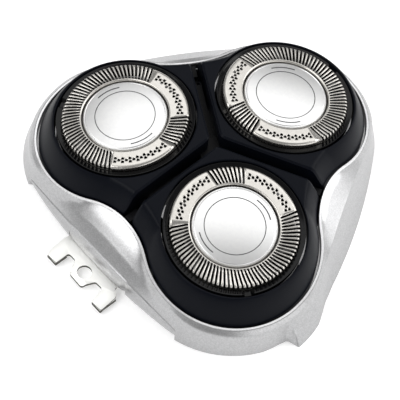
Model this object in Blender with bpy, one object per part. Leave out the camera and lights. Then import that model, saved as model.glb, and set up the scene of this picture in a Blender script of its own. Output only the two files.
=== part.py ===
"""Rotary shaver head: three floating guards in a three-lobed silver housing.

Lengths are metres and +Z is up. The head stands on the lower edge of its skirt, its own
axis is vertical, one lobe points along +Y and the hinge bracket sticks out along -Y.
Each lobe is modelled once in its own frame: X along the tangent, Y outwards, Z up.
"""

import math

import bmesh
import bpy
from mathutils import Matrix, Vector

# Clearances
GAP = 0.0003
SEAT_GAP = 0.00035
CUT_OVERRUN = 0.001

# Guard: a thin stamped cup with a slotted track
GUARD_RADIUS = 0.0115
GUARD_DEPTH = 0.0039
GUARD_SHEET = 0.0004
GUARD_FLANGE = 0.0009
TRACK_INNER = 0.0079
COLLAR_DEPTH = 0.0018
SLOT_WIDTH = 0.00032
SLOT_PITCH = 4.0
SLOT_SLANT = 11.0
SLOT_DROP = 0.0010
SLOT_INSET = 0.0005
LONG_ZONE_SLOTS = 49
LONG_ZONE_CENTRE = 358.0
SHORT_ZONE_SLOTS = 9
SHORT_ZONE_CENTRE = 176.5

# Cap in the middle of each guard
CAP_DROP = 0.0001
CAP_BEVEL = 0.0004
CAP_DEPTH = 0.0014

# Black seat ring between guard and petal
SEAT_RING_WALL = 0.0008
SEAT_RING_DROP = 0.0009
SEAT_RING_SLOPE = 0.0004

# Lobes: the three guard holes stand as close as the grooves and the lands beside them allow
LOBE_ANGLES = {"front": 90.0, "left": 210.0, "right": 330.0}
WAIST_ANGLES = [angle - 60.0 for angle in LOBE_ANGLES.values()]
HINGE_ANGLE = 270.0
GROOVE_WIDTH = 0.0020
PETAL_LAND = 0.00091
HOLE_RADIUS = GUARD_RADIUS + GAP + SEAT_RING_WALL + GAP
LOBE_CENTRE = (HOLE_RADIUS + PETAL_LAND + GROOVE_WIDTH / 2) / math.sin(math.pi / 3)
LOBE_END = LOBE_CENTRE + GUARD_RADIUS
GUARD_TILT = math.radians(7.9)
GUARD_HEIGHT = 0.0140

# Cutter and its drive hub
BLADE_COUNT = 10
BLADE_WIDTH = 0.0008
BLADE_RAKE = 20.0
BLADE_HEIGHT = 0.0015
BLADE_SIDE_GAP = 0.0004
CUTTER_PLATE = 0.0008
CUTTER_RIM = 0.0004
CUTTER_BORE = 0.0029
HUB_FLANGE = 0.0042
HUB_RADIUS = 0.0034
HUB_BOTTOM = 0.0070
HUB_SOCKET = 0.0019
HUB_SOCKET_DEPTH = 0.0025

# Housing: each step is (reach past the guard, height there, reach past the waist, height there)
WAIST_LAND = 0.00355
WAIST = LOBE_CENTRE + WAIST_LAND
LIP_INNER_STEP = (0.0042, 0.0057, 0.0, 0.0097)
LIP_OUTER_STEP = (0.0048, 0.0056, 0.0006, 0.0096)
HOLLOW_STEP = (0.0046, 0.0042, 0.00165, 0.0083)
HOLLOW_FOOT_STEP = (0.0053, 0.0031, 0.00395, 0.0050)
SKIRT_EDGE_STEP = (0.0067, 0.0, 0.00735, 0.0)
LIP_INNER, LIP_OUTER, HOLLOW, HOLLOW_FOOT, SKIRT_EDGE = [
    (LOBE_END + step[0], step[1], WAIST + step[2], step[3])
    for step in (LIP_INNER_STEP, LIP_OUTER_STEP, HOLLOW_STEP, HOLLOW_FOOT_STEP, SKIRT_EDGE_STEP)]
LIP_WALL = 0.0018
HOUSING_WALL = 0.0016
HOUSING_STEP = 6.0
CLOSEST_STEP = 1.0

# Grip on the hinge side: a smooth slope, a crease, and a nearly straight ridge over an inset edge
GRIP_EDGES = (39.3, 37.4)
GRIP_STEP = 0.5
GRIP_INSET = 0.0009
GRIP_SLOPE = (0.0008, 0.0003)
GRIP_SLOPE_FADE = (15.0, 40.0)
GRIP_CREASE = (0.0003, 0.0020)
GRIP_CREASE_FADE = (30.0, 75.0)
RIDGE_REACH = WAIST + 0.00605
RIDGE_HEIGHT = 0.0050
RIDGE_HALF_LENGTH = 0.0200
RIDGE_CURVE = 0.0011
RIDGE_FALL = 0.0024

# Pointed tab of the skirt's edge: each step is (angle beyond the right lobe, reach past the edge)
TAB_STEPS = ((11.8, 0.0), (14.2, 0.0021), (23.0, 0.0015), (29.5, 0.0003), (36.0, 0.0))
TAB_ROOT = 0.1

# Petals: black mouldings that float on two stubs each
PETAL_WALL = 0.0007
PETAL_SKIRT = 0.0028
PETAL_DROP = 0.0009
PETAL_EDGE_DROP = 0.0013
PETAL_DEPTH = 0.0032
PETAL_RISE = 0.5
PETAL_CREST = (0.25, 0.15)
PETAL_SHOULDER = (0.78, 0.72)
PETAL_CORNER = 40
PIVOT_INSET = 0.00315
PIN_REACH = WAIST - PIVOT_INSET
PIN_HEIGHT = 0.0093
STUB_RADIUS = 0.0005
STUB_ROOT = 0.0010

# Pivot carrier, retaining frame and lock wheel
ARM_TOP = 0.0110
ARM_BOTTOM = 0.0067
POST_TOP = 0.0094
BOSS_RADIUS = 0.0030
BOSS_RISE = 0.0008
RETAINER_TOP = 0.0064
RETAINER_THICKNESS = 0.0012
RETAINER_BEYOND = 0.0010
RETAINER_RADIUS = GUARD_RADIUS + RETAINER_BEYOND
RETAINER_LEDGE = 0.0017
RETAINER_BORE = GUARD_RADIUS - RETAINER_LEDGE
RETAINER_HUB = 0.0055
LOCK_RADIUS = 0.0060
LOCK_WAVE = 0.0005
LOCK_GRIPS = 6
LOCK_THICKNESS = 0.0017
LOCK_SHAFT = 0.0013
LOCK_SHAFT_TOP = 0.0104

# Hinge bracket: a stamped plate rolled round a pin that two lugs of the housing hold
HINGE_INSET = 0.0062
HINGE_Y = HINGE_INSET - SKIRT_EDGE[2]
HINGE_HEIGHT = 0.0020
HINGE_PIN_RADIUS = 0.0006
BARREL_WALL = 0.0005
BRACKET_SHEET = 0.0006
BRACKET_TOP = 0.0012
BRACKET_LENGTH = 0.0109
BRACKET_REACH = BRACKET_LENGTH - HINGE_Y
BRACKET_HALF_WIDTH = 0.0075
HOOK_WIDTH = 0.0027
NECK_INSET = 0.0012
NECK_LENGTH = 0.0055
SHOULDER_LENGTH = 0.0069
HOOK_DROP = 0.0005
NOTCH_LENGTH = 0.0076
NOTCH_REACH = NOTCH_LENGTH - HINGE_Y
BRACKET_HOLE = 0.0013
BRACKET_HOLE_LENGTH = 0.0081
BRACKET_HOLE_REACH = BRACKET_HOLE_LENGTH - HINGE_Y
TONGUE_ROOT = 0.0029
TONGUE_TIP = 0.0016
TONGUE_BEYOND = 0.0022
TONGUE_REACH = BRACKET_HOLE_REACH + TONGUE_BEYOND
LUG_GAP = 0.0009
LUG_INNER = BRACKET_HALF_WIDTH + LUG_GAP
LUG_THICKNESS = 0.0014
LUG_FRONT = 0.0013
LUG_HALF_HEIGHT = 0.0015
LUG_SINK = 0.0013
PIN_INSET = 0.0001
HINGE_PIN_LENGTH = 2 * (LUG_INNER + LUG_THICKNESS - PIN_INSET)

# Whole head: the origin is under the middle of its length and of its width
BACK_REACH = BRACKET_REACH
FRONT_REACH = SKIRT_EDGE[0]
AXIS_Y = (BACK_REACH - FRONT_REACH) / 2

# Facet counts and the angle past which an edge stays sharp
SHARP_ANGLE = math.radians(35.0)
GUARD_FACETS = 24
RING_FACETS = 24
PETAL_FACETS = 30
CAP_FACETS = 16
HUB_FACETS = 8
RETAINER_FACETS = 15
PIN_FACETS = 8


def clear_scene():
    for item in list(bpy.data.objects):
        bpy.data.objects.remove(item, do_unlink=True)


def material(name, colour, roughness, metallic):
    made = bpy.data.materials.new(name)
    made.use_nodes = True
    shader = made.node_tree.nodes["Principled BSDF"]
    shader.inputs["Base Color"].default_value = (*colour, 1.0)
    shader.inputs["Roughness"].default_value = roughness
    shader.inputs["Metallic"].default_value = metallic
    return made


def empty(name, location, parent=None, rotation=(0.0, 0.0, 0.0)):
    made = bpy.data.objects.new(name, None)
    made.location = location
    made.rotation_euler = rotation
    made.parent = parent
    bpy.context.collection.objects.link(made)
    return made


def piece(name, mesh, finish, parent):
    made = bpy.data.objects.new(name, mesh)
    made.parent = parent
    if not mesh.materials:
        mesh.materials.append(finish)
    bpy.context.collection.objects.link(made)
    return made


def loft(name, rings, closed):
    """Skin a list of equal closed rings; a closed loft joins its last ring to its first."""
    bm = bmesh.new()
    loops = [[bm.verts.new(point) for point in ring] for ring in rings]
    following = loops[1:] + loops[:1] if closed else loops[1:]
    for low, high in zip(loops, following):
        for index in range(len(low)):
            after = (index + 1) % len(low)
            bm.faces.new((low[index], low[after], high[after], high[index]))
    if not closed:
        bm.faces.new(loops[0])
        bm.faces.new(loops[-1])
    bmesh.ops.recalc_face_normals(bm, faces=bm.faces)
    mesh = bpy.data.meshes.new(name)
    bm.to_mesh(mesh)
    bm.free()
    mesh.shade_smooth()
    mesh.set_sharp_from_angle(angle=SHARP_ANGLE)
    return mesh


def turned(name, profile, facets, closed):
    """Turn a profile of (radius, height) pairs about Z."""
    turns = [2 * math.pi * index / facets for index in range(facets)]
    rings = [[(r * math.cos(t), r * math.sin(t), z) for t in turns] for r, z in profile]
    return loft(name, rings, closed)


def extruded(name, outline, direction):
    """Extrude a flat outline of points along a vector."""
    start = [Vector(point) for point in outline]
    return loft(name, [start, [point + Vector(direction) for point in start]], closed=False)


def box(name, low, high):
    outline = [(low[0], low[1], low[2]), (high[0], low[1], low[2]),
               (high[0], high[1], low[2]), (low[0], high[1], low[2])]
    return extruded(name, outline, (0, 0, high[2] - low[2]))


def moved(mesh, matrix):
    mesh.transform(matrix)
    return mesh


def joined(name, meshes):
    """One mesh that holds several separate shells."""
    bm = bmesh.new()
    for mesh in meshes:
        bm.from_mesh(mesh)
    made = bpy.data.meshes.new(name)
    bm.to_mesh(made)
    bm.free()
    return made


def carved(mesh, operations):
    """Apply Boolean operations, given as (operation, mesh) pairs, and return the result."""
    base = bpy.data.objects.new(mesh.name, mesh)
    bpy.context.collection.objects.link(base)
    tools = []
    for operation, tool_mesh in operations:
        tool = bpy.data.objects.new("tool", tool_mesh)
        tool.hide_render = True
        tool.display_type = "WIRE"
        bpy.context.collection.objects.link(tool)
        tools.append(tool)
        cut = base.modifiers.new(operation.lower(), "BOOLEAN")
        cut.operation = operation
        cut.solver = "EXACT"
        cut.object = tool
    graph = bpy.context.evaluated_depsgraph_get()
    made = bpy.data.meshes.new_from_object(base.evaluated_get(graph))
    made.name = mesh.name
    for item in [base, *tools]:
        bpy.data.objects.remove(item, do_unlink=True)
    bm = bmesh.new()
    bm.from_mesh(made)
    bmesh.ops.dissolve_limit(bm, angle_limit=math.radians(0.3), verts=bm.verts, edges=bm.edges,
                             delimit={"NORMAL"})
    bm.to_mesh(made)
    bm.free()
    made.shade_smooth()
    made.set_sharp_from_angle(angle=SHARP_ANGLE)
    return made


def fillet_circle(lobe_radius, centre, waist):
    """Place of the arc that joins two lobes: its centre's distance along the waist direction."""
    inset = lobe_radius - waist
    return (centre ** 2 - inset ** 2) / (2 * inset + centre)


def trilobe_reach(angle, reach, waist, centre=LOBE_CENTRE):
    """Distance from the axis to the three-lobed outline, at an angle in degrees."""
    lobe_radius = reach - centre
    far = fillet_circle(lobe_radius, centre, waist)
    fillet = far - waist
    off_lobe = abs((angle - 90.0 + 60.0) % 120.0 - 60.0)
    lobe_turn = math.radians(off_lobe)
    waist_turn = math.radians(60.0 - off_lobe)
    arc_x = far * math.cos(math.pi / 3) - centre
    arc_y = far * math.sin(math.pi / 3)
    share = lobe_radius / math.hypot(arc_x, arc_y) * (1 if far > 0 else -1)
    touch = math.atan2(arc_y * share, centre + arc_x * share)
    if lobe_turn <= touch:
        side = centre * math.sin(lobe_turn)
        return centre * math.cos(lobe_turn) + math.sqrt(lobe_radius ** 2 - side ** 2)
    side = far * math.sin(waist_turn)
    root = math.sqrt(fillet ** 2 - side ** 2)
    return far * math.cos(waist_turn) + (-root if far > 0 else root)


def off_hinge(angle):
    off = abs(angle - HINGE_ANGLE)
    return min(off, 360.0 - off)


def in_grip(angle):
    left, right = GRIP_EDGES
    return off_hinge(angle) < (left if HINGE_ANGLE - 180.0 < angle < HINGE_ANGLE else right)


def housing_level(angle, level, shift=(0.0, 0.0), fade=GRIP_CREASE_FADE, inset=0.0, flare=0.0, drop=0.0):
    """Radius and height of one housing level at an angle; the shift fades away from the hinge."""
    reach, lobe_z, waist, waist_z = level
    radius = trilobe_reach(angle, reach, waist)
    height = waist_z + (lobe_z - waist_z) * (radius - waist) / (reach - waist)
    share = min(max((off_hinge(angle) - fade[0]) / (fade[1] - fade[0]), 0.0), 1.0)
    near = 1.0 - share * share * (3.0 - 2.0 * share)
    radius += near * shift[0] + flare * tab_flare(angle)
    if in_grip(angle):
        radius -= inset
    return radius, height + near * shift[1] - drop


def housing_crease(angle):
    """Foot of the hollow under the lip, which becomes the upper crease of the grip."""
    return housing_level(angle, HOLLOW_FOOT, GRIP_CREASE, GRIP_CREASE_FADE, flare=TAB_ROOT)


def housing_ridge(angle):
    """Ridge of the grip, nearly straight across the hinge side; elsewhere half-way down the skirt."""
    crease = housing_crease(angle)
    edge = housing_level(angle, SKIRT_EDGE, flare=1.0)
    if not in_grip(angle):
        return (crease[0] + edge[0]) / 2, (crease[1] + edge[1]) / 2
    turn = math.radians(off_hinge(angle))
    share = (RIDGE_REACH * math.tan(turn) / RIDGE_HALF_LENGTH) ** 2
    return (RIDGE_REACH - RIDGE_CURVE * share) / math.cos(turn), RIDGE_HEIGHT - RIDGE_FALL * share


def tab_flare(angle):
    """Outward flare of the pointed skirt tab beside the right lobe."""
    beyond = (angle - LOBE_ANGLES["right"]) % 360.0
    for (start, low), (end, high) in zip(TAB_STEPS, TAB_STEPS[1:]):
        if start <= beyond < end:
            return low + (high - low) * (beyond - start) / (end - start)
    return 0.0


def housing_angles():
    """Even steps round the head, with closer ones where the skirt steps or flares."""
    added = [LOBE_ANGLES["right"] + beyond for beyond, _ in TAB_STEPS[:2]]
    for end in (HINGE_ANGLE - GRIP_EDGES[0], HINGE_ANGLE + GRIP_EDGES[1]):
        added += [end - GRIP_STEP, end + GRIP_STEP]
    even = [HOUSING_STEP * index for index in range(int(360 / HOUSING_STEP))]
    kept = [angle for angle in even if min(abs(angle - other) for other in added) > CLOSEST_STEP]
    return sorted(kept + added)


def housing_mesh():
    angles = housing_angles()
    inner_edge = (SKIRT_EDGE[0] - HOUSING_WALL, 0.0, SKIRT_EDGE[2] - HOUSING_WALL, 0.0)
    rings = []
    for angle in angles:
        section = [housing_level(angle, LIP_INNER),
                   housing_level(angle, LIP_OUTER),
                   housing_level(angle, HOLLOW, GRIP_SLOPE, GRIP_SLOPE_FADE),
                   housing_crease(angle),
                   housing_ridge(angle),
                   housing_level(angle, SKIRT_EDGE, inset=GRIP_INSET, flare=1.0),
                   housing_level(angle, inner_edge, inset=GRIP_INSET),
                   housing_level(angle, LIP_INNER, drop=LIP_WALL)]
        turn = math.radians(angle)
        rings.append([(radius * math.cos(turn), radius * math.sin(turn), height)
                      for radius, height in section])
    shell = loft("housing", rings, closed=True)
    lug_back = SKIRT_EDGE[2] - GRIP_INSET - LUG_SINK
    lugs = []
    for side in (-1, 1):
        left, right = sorted((side * LUG_INNER, side * (LUG_INNER + LUG_THICKNESS)))
        lugs.append(box("lug", (left, -lug_back, HINGE_HEIGHT - LUG_HALF_HEIGHT),
                        (right, HINGE_Y + LUG_FRONT, HINGE_HEIGHT + LUG_HALF_HEIGHT)))
    bore = rod("bore", HINGE_PIN_RADIUS + GAP, HINGE_PIN_LENGTH / 2 + CUT_OVERRUN)
    mouth_x = BRACKET_HALF_WIDTH + SEAT_GAP
    mouth = box("mouth", (-mouth_x, -BRACKET_REACH, -CUT_OVERRUN),
                (mouth_x, HINGE_Y, BRACKET_TOP + SEAT_GAP))
    cuts = [("DIFFERENCE", bore), ("DIFFERENCE", mouth)]
    return carved(shell, [("UNION", joined("lugs", lugs)), *cuts])


def rod(name, radius, half_length):
    """Round bar on the hinge axis."""
    turn = Matrix.Rotation(math.pi / 2, 4, "Y")
    place = Matrix.Translation((0.0, HINGE_Y, HINGE_HEIGHT))
    made = turned(name, [(radius, -half_length), (radius, half_length)], PIN_FACETS, closed=False)
    return moved(made, place @ turn)


def slot_angles():
    for count, centre in ((LONG_ZONE_SLOTS, LONG_ZONE_CENTRE), (SHORT_ZONE_SLOTS, SHORT_ZONE_CENTRE)):
        for index in range(count):
            yield centre + (index - (count - 1) / 2) * SLOT_PITCH


def guard_mesh():
    """Slotted cup; its angles count anticlockwise from the outward side of the lobe."""
    inner_wall = GUARD_RADIUS - GUARD_SHEET
    collar = TRACK_INNER + GUARD_SHEET
    rim = GUARD_RADIUS + GUARD_FLANGE
    flange_top = GUARD_SHEET - GUARD_DEPTH
    profile = [(TRACK_INNER, 0.0), (GUARD_RADIUS, 0.0), (GUARD_RADIUS, flange_top), (rim, flange_top),
               (rim, -GUARD_DEPTH), (inner_wall, -GUARD_DEPTH), (inner_wall, -GUARD_SHEET),
               (collar, -GUARD_SHEET), (collar, -COLLAR_DEPTH), (TRACK_INNER, -COLLAR_DEPTH)]
    cup = turned("guard", profile, GUARD_FACETS, closed=True)
    slot_start = TRACK_INNER + SLOT_INSET
    middle = (TRACK_INNER + GUARD_RADIUS) / 2
    slots = []
    for angle in slot_angles():
        slot = box("slot", (slot_start - middle, -SLOT_WIDTH / 2, -SLOT_DROP),
                   (GUARD_RADIUS - middle + CUT_OVERRUN, SLOT_WIDTH / 2, CUT_OVERRUN))
        place = Matrix.Rotation(math.radians(90.0 + angle), 4, "Z") @ Matrix.Translation((middle, 0, 0))
        slots.append(moved(slot, place @ Matrix.Rotation(math.radians(SLOT_SLANT), 4, "Z")))
    return carved(cup, [("DIFFERENCE", joined("slots", slots))])


def cap_mesh():
    radius = TRACK_INNER - SEAT_GAP
    top = -CAP_DROP
    profile = [(radius - CAP_BEVEL, top), (radius, top - CAP_BEVEL), (radius, -CAP_DEPTH - CAP_DROP)]
    return turned("guard_cap", profile, CAP_FACETS, closed=False)


def seat_ring_mesh():
    inner = GUARD_RADIUS + GAP
    outer = inner + SEAT_RING_WALL
    top = -SEAT_RING_DROP
    profile = [(inner, top - SEAT_RING_SLOPE), (outer, top), (outer, -PETAL_DEPTH), (inner, -PETAL_DEPTH)]
    return turned("seat_ring", profile, RING_FACETS, closed=True)


def cutter_mesh():
    """Flat plate with a ring of raked blades that run under the slotted track."""
    tip = GUARD_RADIUS - GUARD_SHEET - BLADE_SIDE_GAP
    root = TRACK_INNER + GUARD_SHEET + BLADE_SIDE_GAP
    blade_top = -GUARD_SHEET - GAP
    plate_top = blade_top - BLADE_HEIGHT
    plate_bottom = plate_top - CUTTER_PLATE
    rim = root + CUTTER_RIM
    plate = turned("cutter", [(rim, plate_top), (rim, plate_bottom), (CUTTER_BORE, plate_bottom),
                              (CUTTER_BORE, plate_top)], BLADE_COUNT, closed=True)
    blades = []
    middle = (root + tip) / 2
    half = (tip - root) / 2
    for index in range(BLADE_COUNT):
        blade = box("blade", (-half, -BLADE_WIDTH / 2, plate_bottom), (half, BLADE_WIDTH / 2, blade_top))
        place = Matrix.Rotation(2 * math.pi * index / BLADE_COUNT, 4, "Z")
        place = place @ Matrix.Translation((middle, 0, 0))
        blades.append(moved(blade, place @ Matrix.Rotation(math.radians(BLADE_RAKE), 4, "Z")))
    return carved(plate, [("UNION", joined("blades", blades))])


def hub_mesh():
    """Drive hub below the cutter, with the socket that takes the drive spindle."""
    plate_top = -GUARD_SHEET - GAP - BLADE_HEIGHT
    neck = CUTTER_BORE - GAP
    flange_top = plate_top - CUTTER_PLATE - GAP
    profile = [(neck, plate_top), (neck, flange_top), (HUB_FLANGE, flange_top), (HUB_RADIUS, -HUB_BOTTOM),
               (HUB_SOCKET, -HUB_BOTTOM), (HUB_SOCKET, HUB_SOCKET_DEPTH - HUB_BOTTOM)]
    return turned("cutter_hub", profile, HUB_FACETS, closed=False)


def guard_point(turn, radius, depth):
    """Point in the lobe frame at an angle from outwards, on the tilted guard axis."""
    across = radius * math.sin(turn)
    along = radius * math.cos(turn)
    return Vector((across,
                   LOBE_CENTRE + along * math.cos(GUARD_TILT) - depth * math.sin(GUARD_TILT),
                   GUARD_HEIGHT - along * math.sin(GUARD_TILT) - depth * math.cos(GUARD_TILT)))


def plane_height(y):
    """Height of the tilted guard plane at a distance along the lobe."""
    return GUARD_HEIGHT + (LOBE_CENTRE - y) * math.tan(GUARD_TILT)


def petal_reach(turn):
    """Distance from the lobe's centre to the petal's edge: lip outline and both grooves."""
    reach, _, waist, _ = LIP_INNER
    lobe_radius = reach - LOBE_CENTRE
    far = fillet_circle(lobe_radius, LOBE_CENTRE, waist)
    fillet = far - waist + SEAT_GAP
    limits = []
    arc_x = far * math.sin(math.pi / 3)
    arc_y = far * math.cos(math.pi / 3) - LOBE_CENTRE
    touch = math.atan2(arc_x, arc_y)
    if turn <= touch:
        limits.append(lobe_radius - SEAT_GAP)
    else:
        along = arc_x * math.sin(turn) + arc_y * math.cos(turn)
        beside = arc_x ** 2 + arc_y ** 2 - along ** 2
        if beside < fillet ** 2:
            limits.append(along - math.sqrt(fillet ** 2 - beside))
    face = LOBE_CENTRE * math.sin(math.pi / 3) - GROOVE_WIDTH / 2
    for side in (1, -1):
        facing = side * math.sin(turn) / 2 - math.cos(turn) * math.sin(math.pi / 3)
        if facing > 0:
            limits.append(face / facing)
    return sum(limit ** -PETAL_CORNER for limit in limits) ** (-1 / PETAL_CORNER)


def lip_height(radius):
    """Height of the housing's lip at a distance from the head's axis."""
    reach, lobe_z, waist, waist_z = LIP_INNER
    return waist_z + (lobe_z - waist_z) * (radius - waist) / (reach - waist)


def petal_mesh():
    turns = [2 * math.pi * index / PETAL_FACETS for index in range(PETAL_FACETS)]
    hole_top = [guard_point(turn, HOLE_RADIUS, PETAL_DROP) for turn in turns]
    hole_bottom = [guard_point(turn, HOLE_RADIUS, PETAL_DEPTH) for turn in turns]
    edge = []
    skirt = []
    skirt_inner = []
    for turn in turns:
        folded = min(turn, 2 * math.pi - turn)
        reach = petal_reach(folded)
        outward = Vector((math.sin(turn), math.cos(turn), 0.0))
        point = Vector((0.0, LOBE_CENTRE, 0.0)) + outward * reach
        radius = math.hypot(point.x, point.y)
        rise = lip_height(radius)
        if radius < LIP_INNER[2]:
            climb = LIP_INNER[3] + (LIP_INNER[2] - radius) * PETAL_RISE
            rise = min(plane_height(point.y) - PETAL_EDGE_DROP, climb)
        foot = min(rise - PETAL_SKIRT, plane_height(point.y) - PETAL_DEPTH)
        inner = point - outward * PETAL_WALL
        edge.append(Vector((point.x, point.y, rise)))
        skirt.append(Vector((point.x, point.y, foot)))
        skirt_inner.append(Vector((inner.x, inner.y, foot)))
    crown = []
    for along, fall in (PETAL_CREST, PETAL_SHOULDER):
        ring = [top.lerp(rim, along) for top, rim in zip(hole_top, edge)]
        for point, top, rim in zip(ring, hole_top, edge):
            point.z = top.z + fall * (rim.z - top.z)
        crown.append(ring)
    rings = [hole_top, *crown, edge, skirt, skirt_inner, hole_bottom]
    body = loft("petal", rings, closed=True)
    pin_x = PIN_REACH * math.sin(math.pi / 3)
    pin_y = PIN_REACH * math.cos(math.pi / 3)
    face_x = pin_x - GROOVE_WIDTH / 2 / math.sin(math.pi / 6)
    end_gap = GAP / 2 + STUB_RADIUS * math.cos(math.pi / 6)
    end_x = pin_x - end_gap / math.sin(math.pi / 6)
    stubs = []
    for side in (1, -1):
        start = face_x - STUB_ROOT
        stub = turned("stub", [(STUB_RADIUS, start), (STUB_RADIUS, end_x)], PIN_FACETS, closed=False)
        place = Matrix.Translation((0.0, pin_y, PIN_HEIGHT))
        stubs.append(moved(stub, place @ Matrix.Rotation(side * math.pi / 2, 4, "Y")))
    made = carved(body, [("UNION", joined("stubs", stubs))])
    return moved(made, Matrix.Translation((0.0, -pin_y, -PIN_HEIGHT)))


def carrier_mesh():
    """Three thin arms in the grooves, saddles for the petals' stubs and a boss for the lock."""
    half = GROOVE_WIDTH / 2 - GAP
    lean = math.tan(math.pi / 6)
    saddle_near = PIN_REACH - half / lean - STUB_RADIUS / math.sin(math.pi / 6) - GAP
    saddle_far = PIN_REACH - GAP / lean + STUB_RADIUS + GAP
    saddle_floor = PIN_HEIGHT - STUB_RADIUS - GAP
    start = BOSS_RADIUS / 3
    end = WAIST - SEAT_GAP
    side_view = [(start, ARM_BOTTOM), (end, ARM_BOTTOM), (end, POST_TOP), (saddle_far, POST_TOP),
                 (saddle_far, saddle_floor), (saddle_near, saddle_floor), (saddle_near, ARM_TOP),
                 (start, ARM_TOP)]
    arms = []
    for angle in WAIST_ANGLES:
        arm = extruded("arm", [(r, -half, z) for r, z in side_view], (0, 2 * half, 0))
        arms.append(("UNION", moved(arm, Matrix.Rotation(math.radians(angle), 4, "Z"))))
    boss = turned("pivot_carrier", [(BOSS_RADIUS, ARM_BOTTOM), (BOSS_RADIUS, ARM_TOP + BOSS_RISE)],
                  HUB_FACETS, closed=False)
    socket = turned("socket", [(LOCK_SHAFT + GAP, 0.0), (LOCK_SHAFT + GAP, LOCK_SHAFT_TOP + GAP)],
                    HUB_FACETS, closed=False)
    return carved(boss, [*arms, ("DIFFERENCE", socket)])


def disc(name, radius, centre, low, high, facets):
    made = turned(name, [(radius, low), (radius, high)], facets, closed=False)
    return moved(made, Matrix.Translation((centre[0], centre[1], 0.0)))


def retainer_mesh():
    """Three rings round a hub, which hold the guards and cutters in from below."""
    low = RETAINER_TOP - RETAINER_THICKNESS
    cut = (low - CUT_OVERRUN, RETAINER_TOP + CUT_OVERRUN)
    hub = disc("retaining_frame", RETAINER_HUB, (0, 0), low, RETAINER_TOP, RETAINER_FACETS)
    rings = []
    bores = []
    for angle in LOBE_ANGLES.values():
        turn = math.radians(angle)
        centre = (LOBE_CENTRE * math.cos(turn), LOBE_CENTRE * math.sin(turn))
        rings.append(("UNION", disc("ring", RETAINER_RADIUS, centre, low, RETAINER_TOP, RETAINER_FACETS)))
        bores.append(disc("bore", RETAINER_BORE, centre, *cut, RETAINER_FACETS))
    bores.append(disc("bore", LOCK_SHAFT + GAP, (0, 0), *cut, HUB_FACETS))
    return carved(hub, [*rings, ("DIFFERENCE", joined("bores", bores))])


def lock_wheel_mesh():
    """Grip wheel under the retaining frame, on the shaft that locks in the carrier's boss."""
    top = RETAINER_TOP - RETAINER_THICKNESS - GAP
    facets = 2 * LOCK_GRIPS
    turns = [2 * math.pi * index / facets for index in range(facets)]

    def ring(radius, height, wave=0.0):
        return [((radius + wave * math.cos(LOCK_GRIPS * turn)) * math.cos(turn),
                 (radius + wave * math.cos(LOCK_GRIPS * turn)) * math.sin(turn), height) for turn in turns]

    rings = [ring(LOCK_RADIUS, top - LOCK_THICKNESS, LOCK_WAVE), ring(LOCK_RADIUS, top, LOCK_WAVE),
             ring(LOCK_SHAFT, top), ring(LOCK_SHAFT, LOCK_SHAFT_TOP)]
    return loft("lock_wheel", rings, closed=False)


def bracket_mesh():
    """Stamped plate with two bent-down hooks, a holed tongue and a rolled barrel."""
    low = BRACKET_TOP - BRACKET_SHEET
    width = BRACKET_HALF_WIDTH
    hook = width - HOOK_WIDTH
    left = [(-width, HINGE_Y), (-width, -BRACKET_REACH), (-hook, -BRACKET_REACH), (-hook, -NOTCH_REACH),
            (-TONGUE_ROOT, -NOTCH_REACH), (-TONGUE_TIP, -TONGUE_REACH)]
    neck = [(width - NECK_INSET, HINGE_Y), (width - NECK_INSET, HINGE_Y - NECK_LENGTH),
            (width, HINGE_Y - SHOULDER_LENGTH)]
    outline = [(x, y, low) for x, y in neck] + [(-x, y, low) for x, y in left[1:]]
    outline += [(x, y, low) for x, y in reversed(left)]
    plate = extruded("hinge_bracket", outline, (0, 0, BRACKET_SHEET))
    steps = []
    for side in (-1, 1):
        inner, outer = sorted((side * hook, side * width))
        steps.append(box("tip", (inner, -BRACKET_REACH, low - HOOK_DROP),
                         (outer, -BRACKET_REACH + BRACKET_SHEET, low + BRACKET_SHEET / 2)))
        outer_low, outer_high = sorted((side * (width - BRACKET_SHEET), side * width))
        steps.append(box("side", (outer_low, -BRACKET_REACH, low - HOOK_DROP),
                         (outer_high, -NOTCH_REACH + BRACKET_SHEET, low + BRACKET_SHEET / 2)))
    barrel = rod("barrel", HINGE_PIN_RADIUS + GAP + BARREL_WALL, width)
    bore = rod("bore", HINGE_PIN_RADIUS + GAP, width + CUT_OVERRUN)
    hole = disc("hole", BRACKET_HOLE, (0.0, -BRACKET_HOLE_REACH), 0.0, BRACKET_TOP + CUT_OVERRUN,
                PIN_FACETS)
    operations = [("UNION", step) for step in steps]
    made = carved(plate, [*operations, ("UNION", barrel), ("DIFFERENCE", bore), ("DIFFERENCE", hole)])
    return moved(made, Matrix.Translation((0.0, -HINGE_Y, -HINGE_HEIGHT)))


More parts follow.
